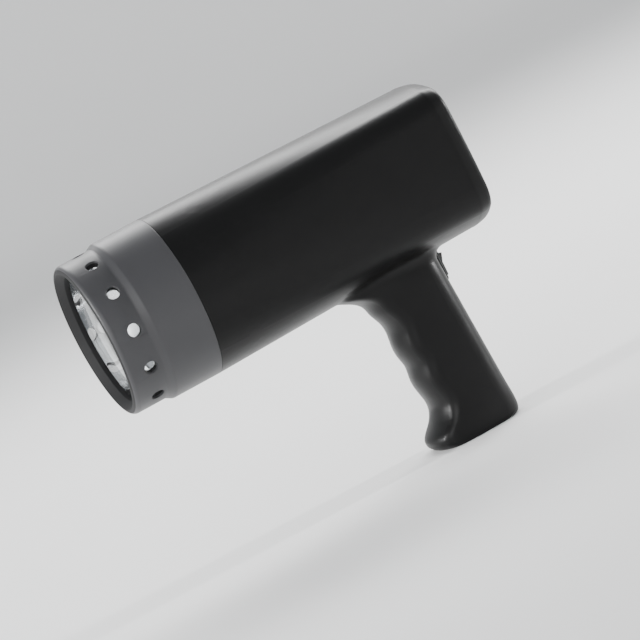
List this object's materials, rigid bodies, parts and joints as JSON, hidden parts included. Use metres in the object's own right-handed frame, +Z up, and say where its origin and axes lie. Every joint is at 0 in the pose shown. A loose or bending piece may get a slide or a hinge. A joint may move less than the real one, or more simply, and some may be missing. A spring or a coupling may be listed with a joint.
{
  "type": "xenon stroboscope",
  "caption": "Pistol-grip xenon stroboscope: black housing, vented grey lamp collar at the nose, rear panel with a display, buttons, knobs and trigger socket, rocker switch on the grip.",
  "frame": {"origin": "centre of the tripod socket's mouth, in the flat base of the grip", "axes": "-X towards the lamp end along the level barrel, +X towards the control panel, +Z up, the housing splits on the plane y = 0"},
  "size_m": [0.2223, 0.089, 0.1805],
  "materials": {
    "housing_black": "fine satin moulded",
    "collar_grey": "fine satin moulded",
    "lens_clear": "clear polished",
    "seal_rubber": "matt",
    "reflector_bright": "bright anodised",
    "holder_black": "moulded",
    "tube_quartz": "clear",
    "lamp_ceramic": "white ceramic, glazed",
    "lead_metal": "tinned",
    "screw_steel": "zinc plated",
    "board_laminate": "green solder mask",
    "capacitor_sleeve": "shrink sleeve",
    "core_steel": "laminated, varnished",
    "coil_winding": "enamelled copper under tape",
    "sink_aluminium": "extruded",
    "epoxy_black": "moulded epoxy",
    "panel_grey": "fine matt overlay",
    "display_surround": "semi-gloss moulded",
    "display_face": "grey liquid crystal display",
    "button_rubber": "matt with a pale outline",
    "knob_grey": "satin moulded",
    "shaft_steel": "turned",
    "socket_black": "moulded",
    "rocker_black": "semi-gloss moulded",
    "cell_sleeve": "printed sleeve over a metal can",
    "insert_brass": "turned"
  },
  "bodies": {
    "body": {"shell_left": "housing_black", "shell_right": "housing_black", "shell_screws": "screw_steel", "front_collar": "collar_grey", "lens_window": "lens_clear", "lens_gasket": "seal_rubber", "reflector": "reflector_bright", "reflector_holder": "holder_black", "flash_tube": "tube_quartz", "flash_tube_base": "lamp_ceramic", "flash_tube_pins": "lead_metal", "lamp_screws": "screw_steel", "driver_board": "board_laminate", "storage_capacitors": "capacitor_sleeve", "transformer_core": "core_steel", "transformer_coil": "coil_winding", "trigger_coil": "coil_winding", "heat_sink": "sink_aluminium", "power_transistor": "epoxy_black", "rear_panel": "panel_grey", "display_frame": "display_surround", "display_glass": "display_face", "control_board": "board_laminate", "board_screws": "screw_steel", "button_switches": "epoxy_black", "trigger_jack": "socket_black", "rocker_frame": "rocker_black", "battery_cells": "cell_sleeve", "battery_holder": "holder_black", "tripod_bush": "insert_brass", "charging_inlet": "socket_black", "coarse_pot": "lead_metal", "fine_pot": "lead_metal"},
    "power_rocker": {"power_rocker": "rocker_black"},
    "coarse_knob": {"coarse_knob": "knob_grey", "coarse_shaft": "shaft_steel"},
    "fine_knob": {"fine_knob": "knob_grey", "fine_shaft": "shaft_steel"},
    "button_1": {"button_1": "button_rubber"},
    "button_2": {"button_2": "button_rubber"},
    "button_3": {"button_3": "button_rubber"},
    "button_4": {"button_4": "button_rubber"}
  },
  "joints": [
    {"name": "power_switch", "type": "hinge", "parent": "body", "child": "power_rocker", "pos_m": [0.02083, 0, 0.0868], "axis": [0, 1, 0], "range_deg": [-20, 0]},
    {"name": "button_1_press", "type": "slide", "parent": "body", "child": "button_1", "axis": [-1, 0, 0], "range_m": [0, 0.0005], "stiffness_N_per_m": 600, "springref_m": -0.0008},
    {"name": "button_2_press", "type": "slide", "parent": "body", "child": "button_2", "axis": [-1, 0, 0], "range_m": [0, 0.0005], "stiffness_N_per_m": 600, "springref_m": -0.0008},
    {"name": "button_3_press", "type": "slide", "parent": "body", "child": "button_3", "axis": [-1, 0, 0], "range_m": [0, 0.0005], "stiffness_N_per_m": 600, "springref_m": -0.0008},
    {"name": "button_4_press", "type": "slide", "parent": "body", "child": "button_4", "axis": [-1, 0, 0], "range_m": [0, 0.0005], "stiffness_N_per_m": 600, "springref_m": -0.0008},
    {"name": "coarse_turn", "type": "hinge", "parent": "body", "child": "coarse_knob", "pos_m": [0.0515, 0.004, 0.1205], "axis": [1, 0, 0], "range_deg": [-150, 150]},
    {"name": "fine_turn", "type": "hinge", "parent": "body", "child": "fine_knob", "pos_m": [0.0515, 0.0264, 0.1205], "axis": [1, 0, 0], "range_deg": [-150, 150]}
  ]
}
